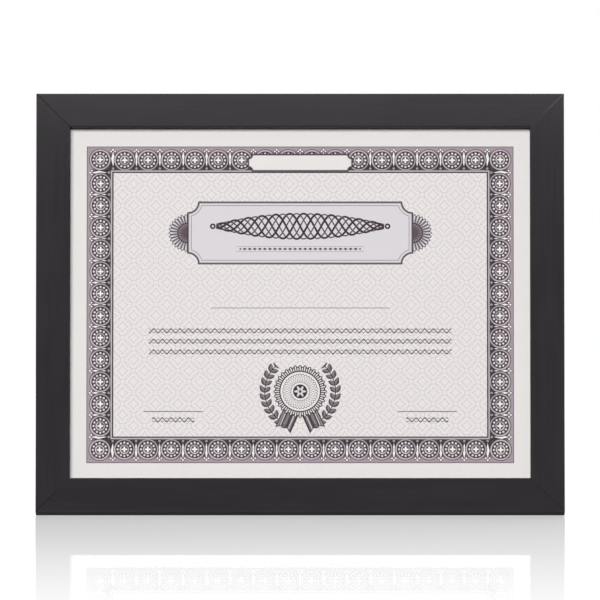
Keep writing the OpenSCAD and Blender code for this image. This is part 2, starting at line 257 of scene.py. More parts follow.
class Tree:
    """Adds nodes to the node tree of one material or of the world."""

    def __init__(self, owner: Any) -> None:
        """Empties the tree of a material or world.

        Args:
            owner: The material or world.
        """
        owner.use_nodes = True
        self.tree = owner.node_tree
        self.tree.nodes.clear()

    def node(self, kind: str, settings: dict | None = None, sockets: dict | None = None) -> bpy.types.Node:
        """Adds a node.

        Args:
            kind: The node's type, without its ShaderNode prefix.
            settings: Its properties, which are set first.
            sockets: Values or links of its input sockets, by name or number.

        Returns:
            The new node.
        """
        made = self.tree.nodes.new("ShaderNode" + kind)
        for name, setting in (settings or {}).items():
            setattr(made, name, setting)
        for key, given in (sockets or {}).items():
            given = given.socket if isinstance(given, Value) else given
            if isinstance(given, Socket):
                self.tree.links.new(given, made.inputs[key])
            else:
                made.inputs[key].default_value = given
        return made

    def maths(self, operation: str, *operands: Number, clamp: bool = False) -> Value:
        """A Math node's result."""
        made = self.node("Math", {"operation": operation, "use_clamp": clamp}, dict(enumerate(operands)))
        return Value(self, made.outputs[0])

    def mix(self, share: Number, first: Socket | Colour, second: Socket | Colour) -> Socket:
        """The colour that is first where share is 0 and second where it is 1."""
        made = self.node("Mix", {"data_type": "RGBA"}, {0: share, 6: first, 7: second})
        return made.outputs[2]

    def blend(self, share: Value, first: bpy.types.Node, second: bpy.types.Node) -> bpy.types.Node:
        """The shader that is first where share is 0 and second where it is 1."""
        return self.node("MixShader", None, {0: share, 1: first.outputs[0], 2: second.outputs[0]})

    def place(self) -> Socket:
        """Where a point of the piece is, in metres, at rest."""
        return self.node("TexCoord").outputs["Object"]

    def off(self, way: Vector, origin: Vector) -> Value:
        """The distance of a point from an origin along a direction.

        Args:
            way: A unit direction.
            origin: Where the distance is zero.

        Returns:
            The distance in millimetres.
        """
        scaled = way / MM
        made = self.node("VectorMath", {"operation": "DOT_PRODUCT"}, {0: self.place(), 1: scaled})
        return Value(self, made.outputs["Value"]) - scaled.dot(origin)

    def leaning(self) -> tuple[Value, Value, Value]:
        """A point's distances across, up and back from the sheet's middle."""
        return tuple(self.off(way, AXES.middle) for way in (AXES.right, AXES.up, AXES.back))

    def noise(self, grain: Grains, detail: float = 2.0, place: Socket | None = None) -> Value:
        """A noise from 0 to 1.

        Args:
            grain: The size of its features along each axis of place, in its units.
            detail: How many finer layers are added.
            place: The coordinates that it reads, or None for the piece's own in millimetres.

        Returns:
            The noise.
        """
        unit = MM if place is None else 1.0
        source = self.place() if place is None else place
        sockets = {0: source, 1: [1 / (size * unit) for size in grain]}
        scaled = self.node("VectorMath", {"operation": "MULTIPLY"}, sockets).outputs[0]
        made = self.node("TexNoise", None, {"Vector": scaled, "Scale": 1.0, "Detail": detail})
        return Value(self, made.outputs[0])

    def joined(self, first: Value, second: Value, third: Value) -> Socket:
        """Three numbers as one vector."""
        return self.node("CombineXYZ", None, {0: first, 1: second, 2: third}).outputs[0]

    def bump(self, height: Value, depth: float) -> Socket:
        """A normal for a relief whose height of 1 is depth millimetres."""
        return self.node("Bump", None, {"Height": height, "Distance": depth * MM}).outputs[0]

    def surface(self, shader: bpy.types.Node) -> None:
        """Ends the tree with a shader."""
        self.node("OutputMaterial", None, {"Surface": shader.outputs[0]})

    def principled(self, sockets: dict) -> None:
        """Ends the tree with a principled shader whose sockets are given."""
        self.surface(self.node("BsdfPrincipled", None, sockets))


class Finish:
    """A finish that makes its own material."""

    def material(self, name: str) -> bpy.types.Material:
        """Makes the material.

        Args:
            name: The material's name.

        Returns:
            A material with this finish.
        """
        made = bpy.data.materials.new(name)
        self.fill(Tree(made))
        return made

    def fill(self, tree: Tree) -> None:
        """Adds the finish's nodes to an empty tree."""
        raise NotImplementedError


class Grain(Enum):
    """The way that a rail's wood grain runs."""

    ACROSS = "across"
    UPRIGHT = "upright"


@dataclass(frozen=True)
class SatinPaint(Finish):
    """Black satin paint on a mitred rail, with the wood's grain showing faintly through it."""

    grain: Grain
    sheen: float
    body: Colour = tone(23, 20, 24)
    streak: Colour = tone(33, 30, 34)
    seam_dark: Colour = tone(4, 3, 4)
    # Painted highlight beside the upper right mitre.
    seam_highlight: Colour = tone(78, 76, 78)
    # Colour of worn paint, and of the painted highlight along the front arrises.
    wear_and_highlight: Colour = tone(66, 62, 62)
    # Painted shade: the darker colour of the rabbet's inner lip.
    shaded_lip: Colour = tone(16, 14, 15)
    shine: float = 0.25
    seam_half: float = 0.3
    seam_rough: float = 0.3
    arris: float = 0.9
    grain_share: float = 0.45
    wear_and_highlight_share: float = 0.5
    arris_highlight_least: float = 0.2
    lip_fade: tuple[float, float] = (0.15, 1.5)
    dull: float = 0.5
    grain_size: Grains = (60.0, 1.3, 1.3)
    cloud_size: Grains = (42.0, 8.0, 8.0)
    peel_size: Grains = (1.3, 1.3, 1.3)
    rub_size: Grains = (4.0, 4.0, 4.0)
    nick_size: Grains = (1.1, 1.1, 1.1)
    relief: float = 0.02

    def fill(self, tree: Tree) -> None:
        """Adds grain, orange peel, worn edges with a painted highlight on every front arris, the dull lip in
        painted shade and the mitre's hairline.

        Args:
            tree: The empty tree of the material.
        """
        across, up, deep = tree.leaning()
        along, beside = (across, up) if self.grain is Grain.ACROSS else (up, across)
        place = tree.joined(along, beside, deep)
        streaks = tree.noise(self.grain_size, 3.0, place)
        cloud = tree.noise(self.cloud_size, 3.0, place)
        peel = tree.noise(self.peel_size, 1.0)
        half_w, half_h = AXES.extent("rail_right", AXES.right)[1], AXES.extent("rail_top", AXES.up)[1]
        face = half_w - AXES.extent("rail_right", AXES.right)[0]
        front, rear = AXES.extent("rail_top", AXES.back)
        edge_w, edge_h = half_w - abs(across), half_h - abs(up)
        rim = edge_w & edge_h
        drift = cloud.ramp(*NOISE_SPAN) * (1 - self.grain_share)
        colour = tree.mix(streaks.ramp(*NOISE_SPAN) * self.grain_share + drift, self.body, self.streak)
        arris = (rim - self.arris).inside(0.5) & (deep - front - self.arris).inside(0.5)
        worn = tree.noise(self.rub_size, 4.0).ramp(0.58, 0.8)
        # Every front arris is lightened as a painted highlight, more where the noise marks it worn, which is
        # real wear.
        wear_and_highlight = arris * (worn * (1 - self.arris_highlight_least) + self.arris_highlight_least)
        colour = tree.mix(wear_and_highlight * self.wear_and_highlight_share, colour, self.wear_and_highlight)
        lip_width, lip_depth = self.lip_fade
        # The rabbet's inner lip is darkened as painted shade, and made dull.
        shaded_lip = (rim - face + 0.2).ramp(0.0, lip_width) & (deep - front - self.arris).ramp(0.0, lip_depth)
        under = edge_h.ramp(0.1, 0.0) & (up < 0.0) & (deep - front - self.arris).ramp(-0.3, 0.6)
        colour = tree.mix(shaded_lip, colour, self.shaded_lip)
        nick = tree.noise(self.nick_size, 1.0).ramp(0.79, 0.83)
        colour = tree.mix(nick * self.wear_and_highlight_share, colour, self.wear_and_highlight)
        seam, highlit_ridge = self.seams(across, up, edge_w - edge_h, rim / face)
        colour = tree.mix(seam, colour, self.seam_dark)
        # A painted highlight beside the upper right mitre's hairline.
        colour = tree.mix(highlit_ridge, colour, self.seam_highlight)
        behind = (deep - rear).ramp(-0.2, 0.0)
        rough = self.sheen + (streaks - 0.5) * 0.12 + wear_and_highlight * 0.1 + behind * 0.2 + (shaded_lip + under) * self.dull
        relief = streaks * 0.5 + peel * 0.25 - seam * 4.0 + highlit_ridge * 2.0
        tree.principled({
            "Base Color": colour, "Roughness": rough + seam * self.seam_rough,
            "Specular IOR Level": self.shine, "Normal": tree.bump(relief, self.relief),
        })

    def seams(self, across: Value, up: Value, off: Value, share: Value) -> tuple[Value, Value]:
        """The mitres' hairlines: open at the upper left, fainter below, with a painted highlight beside the
        one at the upper right.

        Args:
            across: Distance right of the sheet's middle.
            up: Distance above it.
            off: Distance to a side of the mitre.
            share: How far in from the outer edge, from 0 to 1.

        Returns:
            Where the line is dark, and where a painted highlight makes it light.
        """
        left, top = across < 0.0, up > 0.0
        outer = share.ramp(0.75, 0.35)
        line = off.line(self.seam_half * math.sqrt(2), 0.25)
        wide_open = left * top
        half_open = left * (1 - top) * (outer * 0.8 + 0.1)
        closed = (1 - left) * (1 - top) * 0.5
        return line * (wide_open + half_open + closed), line * top * (1 - left) * (outer * 0.4 + 0.1)


@dataclass(frozen=True)
class ClearPane(Finish):
    """Thin clear glass: what is behind it, under a gloss that grows towards grazing sight."""

    bend: float = 1.3
    tint: Colour = (0.988, 0.99, 0.988, 1.0)
    wipe_size: Grains = (38.0, 12.0, 12.0)
    polish: float = 0.02
    haze: float = 0.05

    def fill(self, tree: Tree) -> None:
        """Mixes a mirror over clear by the Fresnel share, on the outer side of a face alone.

        Args:
            tree: The empty tree of the material.
        """
        wipe = tree.noise(self.wipe_size, 3.0)
        rough = self.polish + wipe.ramp(0.45, 0.8) * self.haze
        gloss = tree.node("BsdfAnisotropic", None, {"Color": WHITE, "Roughness": rough})
        clear = tree.node("BsdfTransparent", None, {"Color": self.tint})
        share = Value(tree, tree.node("Fresnel", None, {"IOR": self.bend}).outputs[0])
        outer = 1 - Value(tree, tree.node("NewGeometry").outputs["Backfacing"])
        tree.surface(tree.blend(share * outer, clear, gloss))


@dataclass(frozen=True)
class ZincPlate(Finish):
    """Zinc-plated steel strip with fine drawing lines and dull blotches."""

    drawn: Grains = (26.0, 0.22, 0.22)
    blotch_size: Grains = (3.5, 3.5, 3.5)
    pit_size: Grains = (0.5, 0.5, 0.5)
    rough: float = 0.3
    relief: float = 0.012
    bright: Colour = tone(188, 189, 192)
    dull: Colour = tone(138, 140, 144)

    def fill(self, tree: Tree) -> None:
        """Adds blotches, drawing lines and small pits.

        Args:
            tree: The empty tree of the material.
        """
        blotch = tree.noise(self.blotch_size, 4.0).ramp(0.35, 0.7)
        lines = tree.noise(self.drawn, 2.0)
        pits = tree.noise(self.pit_size, 1.0).ramp(0.62, 0.75)
        colour = tree.mix(blotch * 0.6 + pits * 0.4, self.bright, self.dull)
        rough = self.rough + blotch * 0.12 + lines * 0.12 + pits * 0.1
        tree.principled({
            "Base Color": colour, "Metallic": 1.0, "Roughness": rough,
            "Normal": tree.bump(lines - pits * 0.6, self.relief),
        })


@dataclass(frozen=True)
class FacedBoard(Finish):
    """Brown hardboard whose broad faces are covered with pebbled black paper."""

    facing: Vector
    middle: Vector
    half: float
    face: Colour = tone(43, 41, 42)
    fleck: Colour = tone(66, 63, 64)
    core: Colour = tone(104, 78, 56)
    fibre: Colour = tone(72, 52, 37)
    paper_thick: float = 0.12
    pebble_size: Grains = (0.55, 0.55, 0.55)
    cloud_size: Grains = (24.0, 24.0, 24.0)
    scuff_size: Grains = (18.0, 1.4, 3.0)
    fibre_size: Grains = (2.4, 0.35, 0.35)
    core_rough: float = 0.82
    relief: float = 0.06

    def fill(self, tree: Tree) -> None:
        """Puts paper on the two faces that look along facing, and pressed fibre on the cut edges.

        Args:
            tree: The empty tree of the material.
        """
        depth = abs(tree.off(self.facing, self.middle))
        paper = (self.half - self.paper_thick - depth).inside(0.06)
        pebble = tree.noise(self.pebble_size, 2.0)
        cloud = tree.noise(self.cloud_size, 3.0)
        scuff = tree.noise(self.scuff_size, 4.0).ramp(0.62, 0.8)
        fibres = tree.noise(self.fibre_size, 4.0)
        worn = pebble.ramp(0.4, 0.75) * 0.5 + cloud.ramp(*NOISE_SPAN) * 0.3 + scuff * 0.35
        face = tree.mix(worn, self.face, self.fleck)
        core = tree.mix(fibres.ramp(*NOISE_SPAN), self.core, self.fibre)
        rough = self.core_rough - paper * 0.2 - scuff * 0.08
        relief = pebble * paper + fibres * (1 - paper) * 2.0
        tree.principled({
            "Base Color": tree.mix(paper, core, face), "Roughness": rough, "Specular IOR Level": 0.3,
            "Normal": tree.bump(relief, self.relief),
        })


@dataclass(frozen=True)
class GreyCard(Finish):
    """Uncoated grey board with pulp flecks."""

    pulp: Colour = tone(171, 163, 152)
    fleck: Colour = tone(132, 122, 110)
    fibre_size: Grains = (1.8, 0.5, 0.5)
    fleck_size: Grains = (0.7, 0.7, 0.7)
    rough: float = 0.92
    relief: float = 0.05

    def fill(self, tree: Tree) -> None:
        """Adds flecks and a soft tooth.

        Args:
            tree: The empty tree of the material.
        """
        fibres = tree.noise(self.fibre_size, 4.0)
        flecks = tree.noise(self.fleck_size, 1.0).ramp(0.6, 0.72)
        colour = tree.mix(fibres.ramp(*NOISE_SPAN) * 0.4 + flecks * 0.6, self.pulp, self.fleck)
        rough = self.rough - flecks * 0.05
        tree.principled({"Base Color": colour, "Roughness": rough, "Normal": tree.bump(fibres, self.relief)})


@dataclass(frozen=True)
class SatinWeave(Finish):
    """Black satin ribbon with long warp floats and woven edges."""

    half: float
    run: Vector
    body: Colour = tone(30, 29, 32)
    # Painted sheen on the warp floats.
    sheen_tone: Colour = tone(52, 50, 56)
    warp: float = 0.32
    weft: float = 0.5
    rib: float = 0.7
    selvedge: float = 0.9
    streak_size: Grains = (0.5, 14.0, 14.0)
    rough: float = 0.36
    sheen: float = 0.25
    lustre: float = 0.5
    relief: float = 0.03

    def fill(self, tree: Tree) -> None:
        """Adds warp lines along the ribbon, weft across it and a ribbed selvedge, with painted sheen on them.

        Args:
            tree: The empty tree of the material.
        """
        across = tree.off(AXES.right, AXES.middle)
        along = tree.off(self.run, AXES.middle)
        warp = (across * (FULL_TURN / self.warp)).sine()
        weft = (along * (FULL_TURN / self.weft) + warp * 0.8).sine()
        edge = (self.half - self.selvedge - abs(across)).inside(0.2)
        rib = (along * (FULL_TURN / self.rib)).sine()
        weave = warp * (1 - edge) + rib * edge + weft * 0.3
        streak = tree.noise(self.streak_size, 2.0)
        # Painted sheen: the colour is lighter over the weave's floats, along lengthwise streaks and on the
        # selvedge.
        light = (weave * 0.25 + 0.4) * streak.ramp(0.2, 0.8) + edge * 0.1
        tree.principled({
            "Base Color": tree.mix(light, self.body, self.sheen_tone), "Anisotropic": self.lustre,
            "Roughness": self.rough + edge * 0.25 + streak * 0.08, "Sheen Weight": self.sheen,
            "Normal": tree.bump(weave, self.relief),
        })


@dataclass(frozen=True)
class PressedFelt(Finish):
    """Dark grey wool felt."""

    body: Colour = tone(70, 68, 69)
    fluff: Colour = tone(104, 101, 102)
    fibre_size: Grains = (0.45, 0.45, 0.45)
    mat_size: Grains = (1.6, 1.6, 1.6)
    rough: float = 0.9
    sheen: float = 0.4
    relief: float = 0.12

    def fill(self, tree: Tree) -> None:
        """Adds matted fibres and fluff.

        Args:
            tree: The empty tree of the material.
        """
        fibres = tree.noise(self.fibre_size, 4.0)
        mats = tree.noise(self.mat_size, 2.0)
        colour = tree.mix(fibres.ramp(0.35, 0.7), self.body, self.fluff)
        tree.principled({
            "Base Color": colour, "Roughness": self.rough + mats * (1 - self.rough),
            "Sheen Weight": self.sheen, "Normal": tree.bump(fibres + mats, self.relief),
        })


class Ink:
    """The colours that the sheet is printed in."""

    PAPER = tone(230, 226, 225)
    TOOTH = tone(227, 223, 222)
    FIELD = tone(231, 225, 225)
    TRACERY = tone(203, 195, 197)
    MAUVE = tone(166, 150, 160)
    LAVENDER = tone(218, 213, 218)
    GREY = tone(138, 128, 134)
    PLUM = tone(92, 78, 86)
    DARK = tone(58, 47, 52)
    WHITE = tone(240, 236, 236)


class Press:
    """The sheet while it is printed: its colour so far, and where a point of it is."""

    def __init__(self, tree: Tree, paper: Socket) -> None:
        """Starts with blank paper.

        Args:
            tree: The sheet's node tree.
            paper: The paper's colour.
        """
        self.tree = tree
        self.colour = paper
        self.across, self.up, self.deep = tree.leaning()

    def lay(self, ink: Socket | Colour, share: Value, *masks: Value) -> None:
        """Prints an ink where the share and all of the masks are 1.

        Args:
            ink: The ink's colour.
            share: Where it is printed, from 0 to 1.
            masks: What it is kept within.
        """
        for mask in masks:
            share = share & mask
        self.colour = self.tree.mix(share, self.colour, ink)

    def fill(self, ink: Socket | Colour, off: Value, *masks: Value) -> None:
        """Prints an ink where a distance is below zero, within the masks."""
        self.lay(ink, off.inside(), *masks)

    def rule(self, ink: Socket | Colour, off: Value, half: float, *masks: Value) -> None:
        """Prints a line of an ink along where a distance is zero, within the masks."""
        self.lay(ink, off.line(half), *masks)


@dataclass(frozen=True)
class CertificatePrint(Finish):
    """A generic award form: a medallion border, a plaque with a braid, wave rules and a wreathed seal."""

    # A group of numbers is in the order in which its method takes it apart.
    border_w: float = 119.1
    border_h: float = 87.0
    band: float = 15.4
    cells_w: int = 16
    cells_h: int = 12
    edge_lines: tuple[tuple[Colour, float, float], ...] = (
        (Ink.GREY, 0.85, 0.6), (Ink.LAVENDER, 0.85, 0.16), (Ink.DARK, 0.0, 0.32),
    )
    medal: float = 5.75
    medal_half: float = 0.52
    medal_shade: float = 0.85
    drop: float = 0.35
    beads: Numbers = (12, 0.7, 0.7)
    inner_ring: Numbers = (2.45, 0.28)
    flower: Numbers = (1.3, 4, 0.55)
    spear: Numbers = (0.6, 0.24, 1.1)
    trefoil: Numbers = (6.0, 0.62, 1.15, 5.0, 0.55)
    seed: Numbers = (5.3, 0.72)
    tracery: Numbers = (13.2, 0.56, 2.1, 0.18, 0.15)
    outline: float = 0.3
    hairline: float = 0.22
    label: Numbers = (85.2, 31.0, 5.0)
    plaque: Numbers = (43.0, 67.0, 18.6)
    scoop: float = 6.5
    fan: Numbers = (10.5, 15, 0.5)
    plaque_line: Numbers = (0.9, 2.2, 0.14)
    braid: tuple[float, float, float, float, int] = (47.0, 50.0, 7.6, 25.0, 6)
    waist: float = 0.14
    strand_styles: tuple[tuple[Colour, float], ...] = ((Ink.PLUM, 0.4), (Ink.DARK, 0.6))
    knob: Numbers = (2.0, 1.7, 0.7)
    chain: Numbers = (33.4, 36.0, 3.0)
    link: Numbers = (0.62, 0.8)
    name_rule: Numbers = (-2.0, 53.0)
    waves: Numbers = (-22.0, 6.3, 90.0)
    wave: Numbers = (5.2, 1.15)
    signing: Numbers = (-64.0, 58.0, 93.0)
    signing_drop: float = 5.0
    seal: Numbers = (-52.0, 15.0, 32)
    seal_rings: Numbers = (2.6, 3.3)
    petals: Numbers = (9, 2.5, 7.1)
    eye: Numbers = (4.2, 2.5, 6, 0.9)
    wreath: Numbers = (21.0, 4.3, 5.0, 1.25)
    leaf_slant: float = 38.0
    branch_span: float = 138.0
    leaf_edges: Numbers = (0.12, 0.25, 0.28)
    tail: Numbers = (24.0, 4.6, 25.0)
    tail_line: Numbers = (2.6, 0.18, 0.4)
    fibre_size: Grains = (1.4, 0.5, 0.5)
    rough: float = 0.85
    relief: float = 0.008

    def fill(self, tree: Tree) -> None:
        """Prints each part in turn on the front of the sheet.

        Args:
            tree: The empty tree of the material.
        """
        fibres = tree.noise(self.fibre_size, 3.0)
        press = Press(tree, tree.mix(fibres.ramp(0.35, 0.65), Ink.PAPER, Ink.TOOTH))
        for part in (self.field, self.border, self.title, self.rules, self.laurel, self.tails, self.rosette):
            part(press)
        tree.principled({
            "Base Color": tree.mix(press.deep < 0.0, Ink.PAPER, press.colour), "Specular IOR Level": 0.0,
            "Roughness": self.rough + fibres * 0.1, "Normal": tree.bump(fibres, self.relief),
        })

    def field(self, press: Press) -> None:
        """Prints the pale field inside the border, with a tracery of overlapping circles.

        Args:
            press: The sheet so far.
        """
        pitch, overlap, gap, bold, fine = self.tracery
        radius = pitch * overlap
        x, y = abs(press.across.fold(pitch)), abs(press.up.fold(pitch))
        near = x.length(y) - radius
        far = (pitch / 2 - x).length(pitch / 2 - y) - radius
        first = near.line(bold) | far.line(bold)
        second = (far + gap).line(fine) | (near + gap).line(fine)
        inner_w, inner_h = self.border_w - self.band / 2, self.border_h - self.band / 2
        within = (abs(press.across) - inner_w).inside() & (abs(press.up) - inner_h).inside()
        press.lay(Ink.FIELD, within)
        press.lay(Ink.TRACERY, first | second, within)

    def border(self, press: Press) -> None:
        """Prints the band of ringed medallions, with one in each corner, and the label on its top.

        Args:
            press: The sheet so far.
        """
        half = self.band / 2
        inner_w, inner_h = self.border_w - half, self.border_h - half
        off_w, off_h = abs(press.across) - self.border_w, abs(press.up) - self.border_h
        corner = (abs(press.across) > inner_w) & (abs(press.up) > inner_h)
        level = (abs(press.up) > inner_h) * (1 - corner)
        upright = 1 - (level | corner)
        pitch_w, pitch_h = 2 * inner_w / self.cells_w, 2 * inner_h / self.cells_h
        cell_w = (press.across + inner_w + pitch_w / 2).fold(pitch_w)
        cell_h = (press.up + inner_h + pitch_h / 2).fold(pitch_h)
        out = off_w | off_h
        x = (off_w & off_h) * corner + cell_w * level + cell_h * upright
        y = out * corner + off_h * level + off_w * upright
        side = (pitch_w / 2 - abs(x)) * level + (pitch_h / 2 - abs(x)) * upright + (x + half) * corner
        band = out.line(half)
        press.lay(press.tree.mix(out.ramp(half - 1.2, 0.5), Ink.MAUVE, Ink.PLUM), band)
        self.spandrel(press, side, y, band)
        self.medallion(press, x, y + (1 - corner) * self.drop, band)
        inner = out + half
        press.rule(Ink.PLUM, out - half, 0.2)
        for ink, inset, width in self.edge_lines:
            press.rule(ink, inner - inset, width)
        level_up, half_w, half_h = self.label
        label = self.scooped(abs(press.across), abs(press.up - level_up), half_w, half_h, half_h / 2)
        press.fill(Ink.DARK, label - 0.35)
        press.fill(Ink.GREY, label + self.outline)
        press.lay(Ink.PAPER, (label + 0.7).inside(0.5))

    def spandrel(self, press: Press, side: Value, y: Value, band: Value) -> None:
        """Prints what stands between two medallions: a spear, a trefoil outside and a drop inside.

        Args:
            press: The sheet so far.
            side: Distance from the line midway between the two.
            y: Distance out from the band's middle.
            band: The band's mask.
        """
        press.lay(Ink.DARK, (side - 2.6).inside(2.2) * (y - 3.5).inside(3.0), band)
        level, slope, half = self.spear
        spear = side + abs(y - level) * slope - half
        top, top_radius, wide, low, low_radius = self.trefoil
        trefoil = (side.length(y - top) - top_radius) & ((side - wide).length(y - low) - low_radius)
        for shape in (spear, trefoil):
            press.fill(Ink.DARK, shape - self.outline, band)
            press.fill(Ink.WHITE, shape, band)
        depth, radius = self.seed
        press.fill(Ink.MAUVE, side.length(y + depth) - radius, band)

    def medallion(self, press: Press, x: Value, y: Value, band: Value) -> None:
        """Prints a medallion: a shaded ring, a circle of beads, an inner ring and a flower.

        Args:
            press: The sheet so far.
            x: Distance along the band from its middle.
            y: Distance out from its middle.
            band: The band's mask.
        """
        mix, reach, turn = press.tree.mix, x.length(y), y.angle(x)
        rim = reach - self.medal
        press.fill(Ink.DARK, rim - self.medal_shade, band)
        light = (y * 0.8 - x * 0.6).ramp(-self.medal, self.medal)
        ring = mix(rim.line(0.05, 0.7), mix(light, Ink.PLUM, Ink.MAUVE), Ink.WHITE)
        press.rule(ring, rim, self.medal_half, band)
        press.fill(mix(reach.ramp(2.6, self.medal - 0.6), Ink.PLUM, Ink.DARK), rim + self.medal_half, band)
        count, circle, radius = self.beads
        sector = turn.fold(FULL_TURN / count)
        bead = (reach * sector.cosine() - self.medal * circle).length(reach * sector.sine())
        press.fill(mix(bead.ramp(0.2, 0.75), Ink.WHITE, Ink.MAUVE), bead - radius, band)
        inner, half = self.inner_ring
        press.rule(mix(light, Ink.GREY, Ink.WHITE), reach - inner, half, band)
        middle, petals, swing = self.flower
        press.fill(Ink.WHITE, reach - middle - (turn * petals).cosine() * swing, band)

    def scooped(self, x: Value, y: Value, half_w: float, half_h: float, scoop: float) -> Value:
        """The distance outside a rectangle whose corners are scooped out.

        Args:
            x: Size of the offset across from its middle.
            y: Size of the offset up from its middle.
            half_w: Half its width.
            half_h: Half its height.
            scoop: The radius of its corners.

        Returns:
            The distance, which is below zero inside.
        """
        return (x - half_w) | (y - half_h) | (scoop - (half_w - x).length(half_h - y))

    def title(self, press: Press) -> None:
        """Prints the plaque between two fans, with a braid in the title's place and a chain under it.

        Args:
            press: The sheet so far.
        """
        middle, half_w, half_h = self.plaque
        x, y = abs(press.across), press.up - middle
        radius, ribs, ripple = self.fan
        reach, turn = (x - half_w).length(y), y.angle(x - half_w)
        rib = (turn * (2.0 * ribs)).cosine()
        shell = reach - radius - rib * ripple
        pleat = press.tree.mix(rib.ramp(-0.7, 0.7) * reach.ramp(2.0, radius), Ink.PLUM, Ink.LAVENDER)
        press.fill(Ink.DARK, shell - 0.4)
        press.fill(pleat, shell + 0.2)
        press.rule(Ink.DARK, reach - radius * 0.55, 0.3)
        plaque = self.scooped(x, abs(y), half_w, half_h, self.scoop)
        ground, inset, fine = self.plaque_line
        for ink, edge in ((Ink.DARK, -self.outline), (Ink.GREY, self.outline), (Ink.LAVENDER, ground)):
            press.fill(ink, plaque + edge)
        press.rule(Ink.PLUM, plaque + inset, fine)
        self.guilloche(press)
        level, half, pitch = self.chain
        rise = press.up - level
        slope, size = self.link
        link = abs(press.across.fold(pitch)) * slope + abs(rise) - size
        press.fill(Ink.PLUM, link, (x - half).inside(), rise.line(2.0))
        press.rule(Ink.GREY, abs(rise) - 1.5, 0.1, (x - half - 2.0).inside())

    def guilloche(self, press: Press) -> None:
        """Prints the spindle of interlaced waves that stands where a title would.

        Args:
            press: The sheet so far.
        """
        level, half, swell, wave, strands = self.braid
        across, rise = press.across, press.up - level
        share = across / half
        envelope = (1 - share * share) * swell * (1 - self.waist) + swell * self.waist
        within = (abs(across) - half).inside()
        for k in range(strands):
            turn = across * (FULL_TURN / wave) + FULL_TURN * k / strands
            slope = turn.cosine() * envelope * (FULL_TURN / wave)
            off = (rise - turn.sine() * envelope) / (slope * slope + 1) ** 0.5
            ink, thick = self.strand_styles[k % 2]
            press.rule(ink, off, thick, within)
        gap, outer, inner = self.knob
        knob = (abs(across) - half - gap).length(rise)
        press.fill(Ink.DARK, knob - outer)
        press.fill(Ink.LAVENDER, knob - inner)

    def rules(self, press: Press) -> None:
        """Prints the name rule, three rows of braided wave and the signing rules.

        Args:
            press: The sheet so far.
        """
        x, up = abs(press.across), press.up
        level, half = self.name_rule
        press.rule(Ink.GREY, up - level, self.hairline, (x - half).inside())
        middle, pitch, reach = self.waves
        rows = (up - middle).line(1.5 * pitch) & (x - reach).inside()
        low, near, far = self.signing
        centre, length = (near + far) / 2, (far - near) / 2
        below = up - low + self.signing_drop
        under = below.line(2.0) & (x - centre).line(length - self.signing_drop)
        row = (up - middle).fold(pitch) * rows + below * (1 - rows)
        wavelength, swing = self.wave
        turn = (press.across * (FULL_TURN / wavelength)).sine() * swing
        press.rule(Ink.GREY, row + turn, 0.24, rows | under)
        press.rule(Ink.PLUM, row - turn, 0.42, rows | under)
        press.rule(Ink.PLUM, up - low, self.hairline, (x - centre).line(length))

    def laurel(self, press: Press) -> None:
        """Prints the two laurel branches that go round the seal.

        Args:
            press: The sheet so far.
        """
        radius, pitch, leaf, half = self.wreath
        x, y = abs(press.across), press.up - self.seal[0]
        along = (y.angle(x) + math.pi / 2) * radius
        off = x.length(y) - radius
        end = radius * math.radians(self.branch_span)
        branch = (along - 1.6 * pitch).ramp(0.0, 0.1) & (along - end).inside() & off.line(leaf)
        slant = math.radians(self.leaf_slant)
        ahead, beside = along.fold(pitch) + pitch / 2, abs(off)
        run = (ahead * math.cos(slant) + beside * math.sin(slant)) / leaf
        lean = beside * math.cos(slant) - ahead * math.sin(slant)
        blade = abs(lean) - run * (1 - run) * (4 * half)
        outer, inner, stem = self.leaf_edges
        press.fill(Ink.DARK, blade - outer, branch)
        press.fill(press.tree.mix(lean.ramp(-0.5, 0.5), Ink.GREY, Ink.PLUM), blade + inner, branch)
        press.rule(Ink.DARK, off, stem, branch)

    def tails(self, press: Press) -> None:
        """Prints the two ribbon tails that hang from the seal.

        Args:
            press: The sheet so far.
        """
        slant, half, end = self.tail
        lean = math.radians(slant)
        x, y = abs(press.across), self.seal[0] - press.up
        down = x * math.sin(lean) + y * math.cos(lean)
        beside = x * math.cos(lean) - y * math.sin(lean)
        tail = (abs(beside) - half) | (down - end + (half - abs(beside)) * 0.7)
        below = down > 4.0
        press.fill(Ink.DARK, tail - self.outline, below)
        folds = (beside * 1.9 + press.tree.noise((3.0, 3.0, 3.0)) * 1.2).sine() * 0.5 + 0.5
        press.fill(press.tree.mix(folds, Ink.DARK, Ink.GREY), tail + 0.2, below)
        place, fine, margin = self.tail_line
        press.rule(Ink.WHITE, abs(beside) - place, fine, (tail + margin).inside(), below)

    def rosette(self, press: Press) -> None:
        """Prints the scalloped seal with its guilloche and flower.

        Args:
            press: The sheet so far.
        """
        level, radius, scallops = self.seal
        rise = press.up - level
        reach, turn = press.across.length(rise), rise.angle(press.across)
        rim = reach - radius - (turn * scallops).cosine() * 0.55
        press.fill(Ink.DARK, rim - 0.35)
        pleats = (turn * (2.0 * scallops)).cosine().ramp(-0.2, 0.8)
        press.fill(press.tree.mix(pleats, Ink.PLUM, Ink.WHITE), rim + self.outline)
        for ink, inset in zip((Ink.DARK, Ink.FIELD), self.seal_rings):
            press.fill(ink, reach - radius + inset)
        count, swing, inset = self.petals
        for k in range(4):
            petals = (turn * count + math.pi * k / 2).cosine() * swing
            press.rule(Ink.PLUM, reach - radius + inset - petals, 0.2)
        outer, middle, lobes, inner = self.eye
        press.fill(Ink.DARK, reach - outer)
        press.fill(Ink.LAVENDER, reach - middle - (turn * lobes).cosine())
        press.fill(Ink.PLUM, reach - inner)


